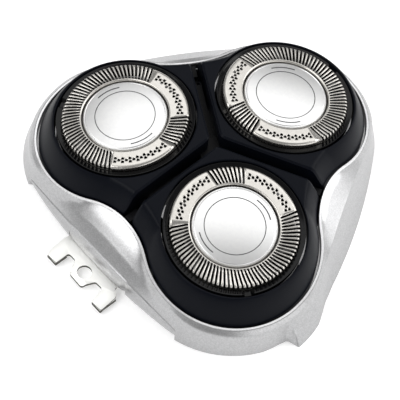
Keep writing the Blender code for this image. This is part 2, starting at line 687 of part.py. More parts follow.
def build():
    clear_scene()
    silver = material("silver_housing", (0.62, 0.63, 0.64), 0.35, 0.6)
    black = material("black_plastic", (0.012, 0.013, 0.016), 0.35, 0.0)
    gloss_black = material("gloss_black", (0.008, 0.008, 0.009), 0.12, 0.0)
    steel = material("guard_steel", (0.80, 0.79, 0.76), 0.25, 1.0)
    chrome = material("cap_chrome", (0.90, 0.89, 0.87), 0.12, 1.0)
    blade_steel = material("blade_steel", (0.60, 0.60, 0.60), 0.30, 1.0)
    grey = material("grey_plastic", (0.30, 0.31, 0.32), 0.50, 0.0)
    bright = material("bracket_steel", (0.85, 0.85, 0.84), 0.20, 1.0)

    shell = housing_mesh()
    sides = [vertex.co.x for vertex in shell.vertices]
    root = empty("shaver_head", (-(min(sides) + max(sides)) / 2, AXIS_Y, 0.0))
    piece("housing", shell, silver, root)
    piece("pivot_carrier", carrier_mesh(), black, root)
    piece("retaining_frame", retainer_mesh(), grey, root)
    piece("lock_wheel", lock_wheel_mesh(), black, root)
    piece("hinge_pin", rod("hinge_pin", HINGE_PIN_RADIUS, HINGE_PIN_LENGTH / 2), blade_steel, root)
    hinge = empty("hinge_axis", (0.0, HINGE_Y, HINGE_HEIGHT), root)
    piece("hinge_bracket", bracket_mesh(), bright, hinge)

    shared = {"petal": (petal_mesh(), black), "guard": (guard_mesh(), steel),
              "guard_cap": (cap_mesh(), chrome), "seat_ring": (seat_ring_mesh(), gloss_black),
              "cutter": (cutter_mesh(), blade_steel), "cutter_hub": (hub_mesh(), grey)}
    pivot_y = PIN_REACH * math.cos(math.pi / 3)
    for lobe, angle in LOBE_ANGLES.items():
        turn = math.radians(angle - 90.0)
        place = Matrix.Rotation(turn, 4, "Z") @ Vector((0.0, pivot_y, PIN_HEIGHT))
        pivot = empty(f"pivot_{lobe}", place, root, (0.0, 0.0, turn))
        spin = empty(f"guard_axis_{lobe}", (0.0, LOBE_CENTRE - pivot_y, GUARD_HEIGHT - PIN_HEIGHT),
                     pivot, (-GUARD_TILT, 0.0, 0.0))
        for name, (mesh, finish) in shared.items():
            piece(f"{name}_{lobe}", mesh, finish, pivot if name == "petal" else spin)
    bpy.context.view_layer.update()


build()
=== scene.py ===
"""Looks of the rotary shaver head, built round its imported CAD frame.

Sizes in this file are millimetres in the head's own frame, whose axis is vertical and whose skirt
stands on the floor. A piece is made in the frame of the head, of its lobe or of its guard, and is
then moved into place.
"""

import math

import bmesh
import bpy
from mathutils import Matrix, Vector


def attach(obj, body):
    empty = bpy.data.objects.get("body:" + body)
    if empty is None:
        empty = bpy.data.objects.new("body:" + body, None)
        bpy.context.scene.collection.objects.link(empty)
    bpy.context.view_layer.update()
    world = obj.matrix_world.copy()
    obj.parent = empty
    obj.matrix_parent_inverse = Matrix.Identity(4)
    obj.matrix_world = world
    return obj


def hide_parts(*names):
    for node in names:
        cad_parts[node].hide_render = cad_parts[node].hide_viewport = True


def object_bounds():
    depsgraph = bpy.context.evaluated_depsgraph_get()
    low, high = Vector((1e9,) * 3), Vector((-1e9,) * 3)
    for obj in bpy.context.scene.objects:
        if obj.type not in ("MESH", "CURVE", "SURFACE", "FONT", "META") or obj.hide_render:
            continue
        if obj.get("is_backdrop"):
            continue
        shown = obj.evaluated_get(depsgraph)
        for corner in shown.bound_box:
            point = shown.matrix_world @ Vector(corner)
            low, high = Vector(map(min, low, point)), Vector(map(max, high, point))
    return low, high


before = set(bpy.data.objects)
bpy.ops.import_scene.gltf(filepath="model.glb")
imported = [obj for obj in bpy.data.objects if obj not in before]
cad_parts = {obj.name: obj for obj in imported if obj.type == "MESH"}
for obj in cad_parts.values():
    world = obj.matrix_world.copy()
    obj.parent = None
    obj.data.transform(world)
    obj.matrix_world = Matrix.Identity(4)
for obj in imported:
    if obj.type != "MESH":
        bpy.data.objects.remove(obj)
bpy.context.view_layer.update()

# Layout of the head
MM = 0.001
AXIS_X = -1.035
AXIS_Y = -1.3
LOBES = {"front": 90.0, "left": 210.0, "right": 330.0}
GROOVES = {"hinge": 270.0, "left": 150.0, "right": 30.0}
HINGE = GROOVES["hinge"]
LOBE_CENTRE = 17.101
TILT = math.radians(7.9)
GUARD_HEIGHT = 14.0
HOLE_RADIUS = 12.9
WAIST = LOBE_CENTRE + 3.55
LOBE_END = LOBE_CENTRE + 11.5

# Guard: the middle and number of slots in each slot zone, and the first angle of each hole zone
TRACK_INNER = 7.9
TRACK_MIDDLE = 9.9
GUARD_RADIUS = 11.5
GUARD_SHEET = 0.2
FLANGE_RADIUS = 12.4
FLANGE_DEPTH = 3.9
SLOT_ZONES = ((176.5, 9), (358.0, 49))
SLOT_START = 8.2
SLOT_DEPTH = 1.0
SLOT_WIDTH = 0.37
SLOT_PITCH = 4.0
SLOT_LEAN = math.tan(math.radians(11.0))
HOLE_ZONES = (99.5, 198.5)
HOLE_PITCH = 3.9
HOLES_ACROSS = 15
HOLE_SIZE = 0.265
HOLE_MARGIN = 0.05
CELL_START = 9.15
CELL_ROW = 0.35

# Printed ring and strokes on the caps; a stroke's start is an angle from the guard's own X
PRINT_FLOOR = -0.13
PRINT_TOP = -0.095
RING_RADIUS = 5.42
RING_WIDTH = 0.15
STROKE_RADIUS = 6.4
STROKE_WIDTH = 0.2
STROKE_TURN = 40.0
STROKE_STARTS = {"front": (121.0, 301.0), "left": (209.0, 389.0), "right": (182.0, 362.0)}

# Seat ring's notch, black tray under the cutter as painted shade, and shelf under the outer end of a groove
NOTCH_HALF = 0.9
NOTCH_LEVEL = -1.6
TRAY_INNER = 4.7
TRAY_OUTER = 11.15
TRAY_FLOOR = -3.75
TRAY_TOP = -3.45
SHELF_LOW = (-4.0, 13.5, 4.5)
SHELF_HIGH = (4.0, 22.5, 5.1)

# Petals: the rounded edge of the hole is (outwards, down), and the crown is divided by shares
GROOVE_WIDTH = 2.0
SEAT_GAP = 0.35
PETAL_DROP = 0.9
PETAL_DEPTH = 3.2
PETAL_SKIRT = 2.8
PETAL_WALL = 0.7
HOLE_EASE = ((0.0, 0.22), (0.06, 0.07), (0.2, 0.0))
EDGE_DROP = 0.3
EDGE_EASE = 0.4
EDGE_STEP = 0.25
LAND_START = 0.1
ROLL_WIDTH = 2.7
ROLL_POWER = 1.35
CORNER_POWER = 60
PETAL_FOOT = 8.4
PETAL_FOOT_AT_LOCK = 11.3
LOCK_FADE = (2.2, 3.6)
PIN_REACH = WAIST - 3.15
PIN_HEIGHT = 9.3
STUB_RADIUS = 0.5
STUB_ROOT = 1.0
STUB_END_GAP = 1.17
PETAL_COLUMNS = 240
PETAL_SHARES = (0.05, 0.12, 0.2, 0.28, 0.36, 0.44, 0.52, 0.59, 0.66, 0.73, 0.79, 0.85, 0.9, 0.94,
                0.97, 0.99, 1.0)
SKIRT_ROWS = 3
PETAL_ROWS = 1 + len(HOLE_EASE) + len(PETAL_SHARES) + SKIRT_ROWS

# Housing levels: reach past the guards, height, reach past the waist, height
LIP_INNER = (LOBE_END + 4.2, 5.7, WAIST, 9.7)
LIP_OUTER = (LOBE_END + 4.8, 5.6, WAIST + 0.6, 9.6)
HOLLOW = (LOBE_END + 4.6, 4.2, WAIST + 1.6, 9.15)
FOOT = (LOBE_END + 5.3, 3.1, WAIST + 4.3, 7.1)
SKIRT = (LOBE_END + 6.7, 0.0, WAIST + 7.35, 0.0)

# Changes to the levels: near the lobes, between two angles off the waist, and near the hinge
HOLLOW_SWELL = Vector((1.0, 0.3))
FOOT_SWELL = Vector((0.55, 0.0))
SWELL_FADE = (22.0, 44.0)
HINGE_SHIFT = (0.85, -0.6)
HINGE_FADE = (15.0, 40.0)
FOOT_FLARE = 0.1

# Skin between the levels: flat facets at the waists, one soft curve at the lobes
FACET_STARTS = (18.0, 18.0, 30.0)
FACET_END = 37.0
FACET_BULGE = 0.03

# Wall of the housing: its thickness, the depth of its lip and the rounding of its edges
WALL = 1.6
LIP_DEPTH = 1.8
CORNER = 0.12
LIP_CROWN = Vector((-0.14, 0.05))

# Faces that look up this squarely and lie at least this high get the lip's painted highlight
LIP_FACING = 0.95
LIP_LOWEST = 5.3

# Grip on the hinge side: its ends, its ridge with the fine line under it, and the bracket's mouth
GRIP_ENDS = (39.3, 37.4)
GRIP_INSET = 0.9
GRIP_BULGE = 0.09
RIDGE_REACH = WAIST + 6.05
RIDGE_HEIGHT = 5.0
RIDGE_HALF = 20.0
RIDGE_RETREAT = 1.1
RIDGE_FALL = 2.4
LINE_DEPTH = 0.16
LINE_SHARES = (0.04, 0.12)
MOUTH_END = 15.9
MOUTH_EASE = 14.0
MOUTH_FLARE = 0.4
MOUTH_TOP = 1.3

# Pointed tab on the skirt's edge: degrees beyond the right lobe, and flare
TAB = ((4.0, 0.0), (9.0, -0.25), (11.4, -0.2), (12.2, 0.15), (13.3, 1.25), (13.8, 1.85), (14.2, 2.1),
       (23.0, 1.5), (26.0, 0.9), (29.5, 0.3), (36.0, 0.0))

# Columns of the housing's skin: one for each degree, and more at the tab's steep stretch, just
# inside and outside the ends of the grip, and at the mouth's two corners
GRIP_STEP = 0.12
MOUTH_STEP = 0.08
HOUSING_ANGLES = sorted({float(index) for index in range(360)}
                        | {LOBES["right"] + beyond for beyond, _ in TAB[2:7]}
                        | {HINGE + side * (end + step) for side, end in zip((-1, 1), GRIP_ENDS)
                           for step in (-GRIP_STEP, GRIP_STEP)}
                        | {HINGE + side * (MOUTH_END + step) for side in (-1, 1)
                           for step in (-MOUTH_STEP, MOUTH_STEP)})

# Its rows: the lip, three strips from lip to ridge, the strip below the ridge, and the inside
STRIPS = 3
UPPER_SHARES = [(index + 1) / 7 for index in range(7)]
LOWER_SHARES = (0.035, 0.07, 0.11, 0.17, 0.26, 0.38, 0.52, 0.68, 0.84, 1.0)
UPPER_ROWS = STRIPS * len(UPPER_SHARES)
INSIDE_ROWS = 6
SECTION_ROWS = 1 + UPPER_ROWS + len(LOWER_SHARES) + INSIDE_ROWS

# Hinge bracket: corners of its plate with their rounding, and its turned-down edges as blocks
PLATE = ((-7.5, -21.8, 0.0), (-7.5, -27.0, 0.0), (-7.6, -28.2, 0.4), (-7.4, -31.3, 0.5),
         (-6.9, -32.75, 0.35), (-4.6, -32.6, 0.15), (-4.65, -29.65, 0.5), (-2.95, -29.6, 0.3),
         (-1.6, -32.0, 0.4), (1.75, -32.1, 0.45), (2.85, -29.7, 0.3), (4.55, -29.6, 0.5),
         (5.4, -32.8, 0.15), (7.8, -32.6, 0.25), (7.45, -28.4, 0.9), (6.0, -28.0, 0.5), (6.0, -21.8, 0.0))
FLANGES = (((-6.95, -32.72, 0.1), (-4.65, -32.2, 1.0)), ((-5.1, -32.6, 0.1), (-4.62, -30.1, 1.0)),
           ((5.4, -32.74, 0.1), (7.75, -32.2, 1.0)), ((7.2, -32.6, 0.1), (7.68, -29.0, 1.0)))
PLATE_TOP = 1.2
PLATE_SHEET = 0.6
# Faces past this line that face sideways this much are dark grey: bare cut edges, with painted shade on the
# turned-down faces
DARK_SIDES_FROM = 27.5
DARK_SIDES_FACING = 0.6
TONGUE_HALF = 3.0
TONGUE_BEND = (31.0, 32.3)
TONGUE_CREASES = (-31.2, -31.5, -31.8)
TONGUE_DROP = 0.6
TONGUE_HOLE = (0.04, -29.94, 1.25)
TONGUE_HOLE_RADIUS = 1.35
TONGUE_HOLE_REACH = 3.5
PIN_PLACE = (0.0, -21.8, 2.0)
BARREL_HALF = 7.5
BARREL_BORE = 0.9
BARREL_RADIUS = 1.4

# Lugs that hold the hinge pin: (nearer side, farther side), back, front, bottom and top
LUG_SIDES = (8.4, 9.8)
LUG_BACK = -26.0
LUG_FRONT = -20.5
LUG_BOTTOM = 0.5
LUG_TOP = 3.5

# Rounding of stamped and moulded edges, on every edge that turns by more than an angle
SHARP = math.radians(30.0)
STAMPED_ROUND = 0.05
MOULDED_ROUND = 0.12
SHELF_ROUND = 0.1

# Edges that turn by more than this are shaded sharp; the housing's shallow creases stay crisp
SHADED_SHARP = math.radians(40.0)
CREASE_SHARP = math.radians(11.0)

HEAD = Matrix.Scale(MM, 4) @ Matrix.Translation((AXIS_X, AXIS_Y, 0.0))


def lobe_frame(angle):
    """Frame of a lobe or groove: X along the tangent, Y outwards, Z up."""
    return HEAD @ Matrix.Rotation(math.radians(angle - 90.0), 4, "Z")


def guard_frame(angle):
    """Frame of a guard: the middle of its flat top, with Z along its tilted axis."""
    place = Matrix.Translation((0.0, LOBE_CENTRE, GUARD_HEIGHT))
    return lobe_frame(angle) @ place @ Matrix.Rotation(-TILT, 4, "X")


def blend(value, low, high):
    """Smooth step from 0 at low to 1 at high."""
    share = min(max((value - low) / (high - low), 0.0), 1.0)
    return share * share * (3.0 - 2.0 * share)


# Materials

def linear(code):
    """sRGB hex colour as linear RGBA."""
    parts = [int(code[index:index + 2], 16) / 255.0 for index in (1, 3, 5)]
    return (*[part / 12.92 if part <= 0.04045 else ((part + 0.055) / 1.055) ** 2.4 for part in parts], 1.0)


def add(tree, kind, settings=None, values=None, links=None):
    """Add one node: its settings, its socket values and the sockets that feed it."""
    made = tree.nodes.new("ShaderNode" + kind)
    for name, value in (settings or {}).items():
        setattr(made, name, value)
    for name, value in (values or {}).items():
        made.inputs[name].default_value = value
    for name, source in (links or {}).items():
        tree.links.new(source, made.inputs[name])
    return made


def finish(name, **values):
    """New material, with its tree and its Principled shader."""
    made = bpy.data.materials.new(name)
    made.use_nodes = True
    shader = made.node_tree.nodes["Principled BSDF"]
    for socket, value in values.items():
        shader.inputs[socket.replace("_", " ")].default_value = value
    return made, made.node_tree, shader


def speckle(tree, grain, kind="TexNoise", **values):
    """Texture in object space whose features are about grain millimetres wide."""
    place = add(tree, "TexCoord").outputs["Object"]
    return add(tree, kind, values={"Scale": 1.0 / (grain * MM), **values}, links={"Vector": place})


def varied(tree, shader, socket, texture, low, high, spread=(0.3, 0.7)):
    """Let a socket run from low to high, hex colours or plain numbers, over a texture."""
    tones = add(tree, "ValToRGB", links={"Fac": texture})
    for point, position, tone in zip(tones.color_ramp.elements, spread, (low, high)):
        point.position = position
        point.color = linear(tone) if isinstance(tone, str) else (tone, tone, tone, 1.0)
    tree.links.new(tones.outputs["Color"], shader.inputs[socket])


def raised(tree, shader, texture, strength, depth):
    """Let a texture stand out from the surface by a real depth in millimetres."""
    relief = add(tree, "Bump", values={"Strength": strength, "Distance": depth * MM},
                 links={"Height": texture})
    tree.links.new(relief.outputs["Normal"], shader.inputs["Normal"])


def silver_paint(name, dark, light):
    """ABS moulding sprayed with aluminium-flake silver: soft metal sheen with a fine sparkle."""
    made, tree, shader = finish(name, Metallic=0.85, Coat_Weight=0.2, Coat_Roughness=0.3)
    # Real flakes are about 0.03 mm; they are drawn 0.14 mm wide so that they show
    flakes = speckle(tree, 0.14, "TexVoronoi").outputs["Color"]
    cloud = speckle(tree, 0.5, Detail=3.0).outputs["Fac"]
    varied(tree, shader, "Base Color", flakes, dark, light, (0.25, 0.75))
    varied(tree, shader, "Roughness", cloud, 0.31, 0.36)
    raised(tree, shader, flakes, 0.08, 0.02)
    return made


def moulded_plastic(name, dark, light, roughness, level, grain, depth):
    """Moulded plastic with a fine spark-eroded texture that softens its reflections."""
    made, tree, shader = finish(name, Specular_IOR_Level=level)
    texture = speckle(tree, grain, Detail=2.0).outputs["Fac"]
    varied(tree, shader, "Base Color", texture, dark, light)
    varied(tree, shader, "Roughness", texture, roughness, roughness + 0.08)
    raised(tree, shader, texture, 0.3, depth)
    return made


def turned_metal(name, dark, light, roughness, pitch, strength):
    """Metal with the fine concentric marks of turning or spinning, from the piece's own frame."""
    made, tree, shader = finish(name, Metallic=1.0)
    local = add(tree, "Attribute", {"attribute_name": "local_mm"}).outputs["Vector"]
    parts = add(tree, "SeparateXYZ", links={"Vector": local})
    flat = add(tree, "CombineXYZ", links={"X": parts.outputs["X"], "Y": parts.outputs["Y"]})
    radius = add(tree, "VectorMath", {"operation": "LENGTH"}, links={0: flat.outputs["Vector"]})
    marks = add(tree, "TexNoise", {"noise_dimensions": "1D"}, {"Scale": 1.0 / pitch, "Detail": 3.0},
                {"W": radius.outputs["Value"]}).outputs["Fac"]
    grain = speckle(tree, 0.6, Detail=2.0).outputs["Fac"]
    varied(tree, shader, "Base Color", grain, dark, light)
    varied(tree, shader, "Roughness", marks, roughness, roughness + 0.10)
    raised(tree, shader, marks, strength, 0.01)
    return made


def sheet_steel(name, dark, light, roughness, grain):
    """Sheet metal with faint mottling left by plating or grinding."""
    made, tree, shader = finish(name, Metallic=1.0)
    mottle = speckle(tree, grain, Detail=4.0).outputs["Fac"]
    varied(tree, shader, "Base Color", mottle, dark, light)
    varied(tree, shader, "Roughness", mottle, roughness, roughness + 0.10)
    raised(tree, shader, mottle, 0.05, 0.01)
    return made


def print_ink():
    """Pad-printing ink: flat dark grey, a little uneven in its cover."""
    made, tree, shader = finish("pad_print_ink", Roughness=0.5)
    varied(tree, shader, "Base Color", speckle(tree, 0.3, Detail=2.0).outputs["Fac"], "#2E2F32", "#3B3C3F")
    return made


# Housing: a pale silver whose facets part by their sheen
SILVER = silver_paint("silver_flake_paint", "#A8A8A9", "#BABABB")
# Its lip: the same silver painted far lighter, a painted highlight that draws a thin white line round the
# petals
LIP_HIGHLIGHT_SILVER = silver_paint("silver_paint_lip_highlight", "#E6E6E7", "#F0F0F1")
# Petals: nearly black with a blue cast, and dim broad reflections
BLACK = moulded_plastic("black_moulded_abs", "#07090F", "#0A0D15", roughness=0.34, level=0.07,
                        grain=0.12, depth=0.01)
# Carrier, hubs, lock and trays: a duller black, so that grooves and slots look deep; on the trays it is
# painted shade under the cutters
CARRIER_BLACK = moulded_plastic("black_acetal", "#08080A", "#0C0C0F", roughness=0.42, level=0.12,
                                grain=0.15, depth=0.01)
# Seat rings: black with thin, sharp highlights
GLOSS_BLACK = moulded_plastic("polished_black_abs", "#050506", "#070709", roughness=0.10, level=0.2,
                              grain=0.8, depth=0.002)
# Retaining frame: an even, matt grey
GREY = moulded_plastic("grey_moulded_plastic", "#6B6D70", "#787A7D", roughness=0.45, level=0.4,
                       grain=0.2, depth=0.01)
# Guards: warm grey steel whose grinding rings draw the light out round the track
TRACK_STEEL = turned_metal("ground_shaving_steel", "#C3C0BA", "#CBC8C3", roughness=0.24, pitch=0.08,
                           strength=0.08)
# Caps: almost white, with a sheen that turns slowly from edge to edge
CAP_METAL = turned_metal("satin_chromed_cap", "#E0E0E0", "#E4E4E3", roughness=0.32, pitch=0.10,
                         strength=0.03)
# Cutters and pin: steel painted dark grey, a painted shade that keeps them dark under the slots
BLADE_STEEL = sheet_steel("blade_steel_painted_shade", "#4C4C4B", "#626261", roughness=0.3, grain=0.3)
# Walls of the guards' slots and holes, and the inside of the guards: steel painted dark as painted shade, so
# that each slot has a crisp edge
SLOT_SHADE_STEEL = sheet_steel("shaded_slot_steel", "#1E1D1B", "#2A2927", roughness=0.5, grain=0.3)
# Bracket: a pale, even metal, almost as white as the floor
BRACKET_STEEL = sheet_steel("bright_zinc_plated_steel", "#EFEFEC", "#F4F4F1", roughness=0.42, grain=1.5)
# Its sheared edges and the turned-down faces of the hooks: dark grey, partly the bare cut edge and partly
# painted shade, a thin dark line round the hooks
EDGE_AND_SIDE_SHADE = sheet_steel("sheared_edge_and_side_shade", "#4A4944", "#5E5D57", roughness=0.45, grain=0.3)
INK = print_ink()


# Mesh helpers

def outward(bm):
    """Turn all faces of a closed mesh outwards."""
    bmesh.ops.recalc_face_normals(bm, faces=bm.faces)
    if bm.calc_volume(signed=True) < 0.0:
        bmesh.ops.reverse_faces(bm, faces=bm.faces)
    return bm


def spun(points, steps, closed=False, turn=360.0, start=0.0):
    """Spin a half section of (radius, height) points about Z."""
    bm = bmesh.new()
    verts = [bm.verts.new((radius, 0.0, height)) for radius, height in points]
    pairs = list(zip(verts, verts[1:]))
    if closed:
        pairs.append((verts[-1], verts[0]))
    edges = [bm.edges.new(pair) for pair in pairs]
    bmesh.ops.spin(bm, geom=verts + edges, cent=(0.0, 0.0, 0.0), axis=(0.0, 0.0, 1.0),
                   angle=math.radians(turn), steps=steps, use_merge=turn == 360.0)
    bmesh.ops.remove_doubles(bm, verts=bm.verts, dist=0.0001)
    bmesh.ops.rotate(bm, cent=(0.0, 0.0, 0.0), matrix=Matrix.Rotation(math.radians(start), 3, "Z"),
                     verts=bm.verts)
    if turn < 360.0:
        bmesh.ops.holes_fill(bm, edges=[edge for edge in bm.edges if edge.is_boundary])
    bmesh.ops.recalc_face_normals(bm, faces=bm.faces)
    return bm


def warped(rows, columns, place):
    """Closed ring of rows spun round Z, whose points then go where place(row, column) says."""
    bm = bmesh.new()
    mark = bm.verts.layers.int.new("row")
    # This first ring only gives the points their order
    ring, tube = 20.0, 5.0
    verts = []
    for row in range(rows):
        turn = 2.0 * math.pi * row / rows
        vert = bm.verts.new((ring + tube * math.cos(turn), 0.0, tube * math.sin(turn)))
        vert[mark] = row
        verts.append(vert)
    edges = [bm.edges.new(pair) for pair in zip(verts, verts[1:] + verts[:1])]
    bmesh.ops.spin(bm, geom=verts + edges, cent=(0.0, 0.0, 0.0), axis=(0.0, 0.0, 1.0),
                   angle=2.0 * math.pi, steps=columns, use_merge=True)
    for vert in bm.verts:
        turn = math.atan2(vert.co.y, vert.co.x)
        vert.co = place(vert[mark], round(turn / (2.0 * math.pi) * columns) % columns)
    return outward(bm)


def block(low, high):
    """Block between two opposite corners."""
    bm = bmesh.new()
    low, high = Vector(low), Vector(high)
    place = Matrix.Translation((low + high) / 2.0) @ Matrix.Diagonal((*(high - low), 1.0))
    bmesh.ops.create_cube(bm, size=1.0, matrix=place)
    return bm


def rod(bm, radius, length, place, segments):
    """Add a rod with closed ends, its middle at place and its length along Z there."""
    bmesh.ops.create_cone(bm, cap_ends=True, segments=segments, radius1=radius, radius2=radius,
                          depth=length, matrix=place)


def joined(bm, other):
    """Put another mesh into this one."""
    mesh = bpy.data.meshes.new("part")
    other.to_mesh(mesh)
    other.free()
    bm.from_mesh(mesh)
    bpy.data.meshes.remove(mesh)


def softened(bm, width):
    """Round every sharp edge."""
    sharp = [edge for edge in bm.edges if len(edge.link_faces) == 2
             and edge.calc_face_angle(0.0) > SHARP]
    bmesh.ops.bevel(bm, geom=sharp, offset=width, affect="EDGES", segments=2, profile=0.5,
                    clamp_overlap=True, material=-1)
    return bm


def piece(name, bm, place, body, slot, material, *replaced, sharp=SHADED_SHARP):
    """Place a mesh, keep its own frame as an attribute, and ride it on its body."""
    local = bm.verts.layers.float_vector.new("local_mm")
    for vert in bm.verts:
        vert[local] = vert.co
    bmesh.ops.transform(bm, matrix=place, verts=bm.verts)
    mesh = bpy.data.meshes.new(name)
    bm.to_mesh(mesh)
    bm.free()
    mesh.shade_smooth()
    mesh.set_sharp_from_angle(angle=sharp)
    mesh.materials.append(material)
    made = bpy.data.objects.new(name, mesh)
    bpy.context.scene.collection.objects.link(made)
    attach(made, body)
    if replaced:
        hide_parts(*replaced)
    return made


def carve(made, bm):
    """Cut a closed mesh out of a piece and mark its sharp edges again."""
    mesh = bpy.data.meshes.new("cut")
    bmesh.ops.transform(bm, matrix=HEAD, verts=bm.verts)
    bm.to_mesh(mesh)
    bm.free()
    tool = bpy.data.objects.new("cut", mesh)
    bpy.context.scene.collection.objects.link(tool)
    cut = made.modifiers.new("cut", "BOOLEAN")
    cut.operation = "DIFFERENCE"
    cut.solver = "EXACT"
    cut.object = tool
    bpy.context.view_layer.update()
    result = bpy.data.meshes.new_from_object(made.evaluated_get(bpy.context.evaluated_depsgraph_get()))
    made.modifiers.remove(cut)
    made.data = result
    bpy.data.objects.remove(tool)
    result.set_sharp_from_angle(angle=SHARP)


# Guards

def track_columns():
    """Lines round the track as (angle, side of a slot, what follows), anticlockwise from outwards."""
    columns = []
    for first, (middle, count) in zip(HOLE_ZONES, SLOT_ZONES):
        for index in range(HOLES_ACROSS):
            columns.append((first + (index - 0.5) * HOLE_PITCH, 0, "single" if index % 2 else "pair"))
        columns.append((first + (HOLES_ACROSS - 0.5) * HOLE_PITCH, 0, "land"))
        for index in range(count):
            angle = middle + (index - (count - 1) / 2.0) * SLOT_PITCH
            columns.append((angle, -1, "slot"))
            columns.append((angle, 1, "land"))
    return columns


def track_point(column, radius, height):
    """Point on one line of the track; a slot keeps its width and leans over as it runs outwards."""
    angle, side, _ = column
    if side:
        angle += side * math.degrees(SLOT_WIDTH / 2.0 / radius)
        angle += math.degrees(SLOT_LEAN * math.log(radius / TRACK_MIDDLE))
    turn = math.radians(90.0 + angle)
    return Vector((radius * math.cos(turn), radius * math.sin(turn), height))


def guard():
    """Stamped cup with its slots, its hole patterns and the toothed edge that the slots leave."""
    # Inner wall, track with its rows of holes, rounded rim, outer wall and flange
    section = [(TRACK_INNER, -1.8), (TRACK_INNER, -0.25), (7.97, -0.08), (8.12, 0.0), (SLOT_START, 0.0)]
    section += [(CELL_START + index * CELL_ROW, 0.0) for index in range(5)]
    section += [(10.95, 0.0), (11.16, -0.05), (11.34, -0.16), (11.46, -0.34), (GUARD_RADIUS, -0.55)]
    section += [(GUARD_RADIUS, -SLOT_DEPTH), (GUARD_RADIUS, -3.42), (11.58, -3.5), (FLANGE_RADIUS, -3.5),
                (FLANGE_RADIUS, -FLANGE_DEPTH)]
    columns = track_columns()
    bm = spun(section, len(columns))
    step = 360.0 / len(columns)
    slots = []
    cells = {}
    for face in bm.faces:
        centre = face.calc_center_median()
        column = int(math.degrees(math.atan2(centre.y, centre.x)) % 360.0 / step)
        kind = columns[column][2]
        radius = math.hypot(centre.x, centre.y)
        row = math.floor((radius - CELL_START) / CELL_ROW)
        if kind == "slot" and radius > SLOT_START and centre.z > -SLOT_DEPTH:
            slots.append(face)
        # A pair is two holes, in the inner and the outer rows; a single one lies between them
        if kind == "pair" and 0 <= row <= 3:
            cells.setdefault((column, row // 2), []).append(face)
        if kind == "single" and 1 <= row <= 2:
            cells.setdefault((column, 0), []).append(face)
    for vert in bm.verts:
        column = round(math.degrees(math.atan2(vert.co.y, vert.co.x)) % 360.0 / step) % len(columns)
        vert.co = track_point(columns[column], math.hypot(vert.co.x, vert.co.y), vert.co.z)
    bmesh.ops.delete(bm, geom=slots, context="FACES")
    merged = []
    for faces in cells.values():
        merged += bmesh.ops.dissolve_faces(bm, faces=faces, use_verts=False)["region"]
    bmesh.ops.inset_individual(bm, faces=merged, thickness=HOLE_MARGIN, use_even_offset=True)
    for face in merged:
        bmesh.ops.bisect_edges(bm, edges=list(face.edges), cuts=1)
    for face in merged:
        centre = face.calc_center_median()
        around = [loop.vert for loop in face.loops]
        first = around[0].co - centre
        start = math.atan2(first.y, first.x)
        turning = 1 if face.normal.z > 0 else -1
        for index, vert in enumerate(around):
            turn = start + turning * 2.0 * math.pi * index / len(around)
            vert.co = centre + Vector((math.cos(turn), math.sin(turn), 0.0)) * HOLE_SIZE
    bmesh.ops.delete(bm, geom=merged, context="FACES")
    bmesh.ops.recalc_face_normals(bm, faces=bm.faces)
    top = max(bm.faces, key=lambda face: face.calc_center_median().z)
    if top.normal.z < 0:
        bmesh.ops.reverse_faces(bm, faces=bm.faces)
    return bm


def sheet_metal(made, thickness, inside):
    """Give an open skin its thickness, inwards, with painted shade inside and in its holes."""
    wall = made.modifiers.new("sheet", "SOLIDIFY")
    wall.thickness = thickness * MM
    wall.offset = -1.0
    wall.use_even_offset = True
    made.data.materials.append(inside)
    wall.material_offset = 1
    wall.material_offset_rim = 1


def cap():
    """Domed cap with a bright bevel between two fine steps round its edge."""
    section = [(0.0, -0.1), (7.05, -0.12), (7.17, -0.16), (7.23, -0.24), (7.29, -0.24), (7.35, -0.18),
               (7.46, -0.2), (7.64, -0.42), (7.7, -0.6), (7.7, -1.5), (0.0, -1.5)]
    return spun(section, steps=128)


def band(radius, width, turn=360.0, start=0.0):
    """Thin printed stroke round the middle of a cap, with a step for every three degrees."""
    inner, outer = radius - width / 2.0, radius + width / 2.0
    section = [(inner, PRINT_FLOOR), (inner, PRINT_TOP), (outer, PRINT_TOP), (outer, PRINT_FLOOR)]
    return spun(section, steps=max(8, round(turn / 3.0)), closed=True, turn=turn, start=start)


def seat_ring():
    """Glossy ring round the guard, with the locating notch on its outward side."""
    section = [(11.6, -3.2), (11.6, -1.2), (11.66, -1.12), (12.3, -0.98), (12.48, -0.9), (12.56, -0.9),
               (12.6, -0.96), (12.6, -3.2)]
    bm = spun(section, steps=144, closed=True)
    for vert in bm.verts:
        if vert.co.y > 0.0 and abs(vert.co.x) < NOTCH_HALF:
            vert.co.z = min(vert.co.z, NOTCH_LEVEL)
    return bm


def shade_tray():
    """Black disc under the cutter and round its hub, painted shade that keeps the slots dark."""
    section = [(TRAY_INNER, TRAY_FLOOR), (TRAY_INNER, TRAY_TOP), (TRAY_OUTER, TRAY_TOP),
               (TRAY_OUTER, TRAY_FLOOR)]
    return spun(section, steps=96, closed=True)


# Outlines that the housing and the petals share

def fillet_centre(lobe_radius, waist):
    """Distance along the waist to the centre of the arc that joins two lobes."""
    inset = lobe_radius - waist
    return (LOBE_CENTRE ** 2 - inset ** 2) / (2.0 * inset + LOBE_CENTRE)


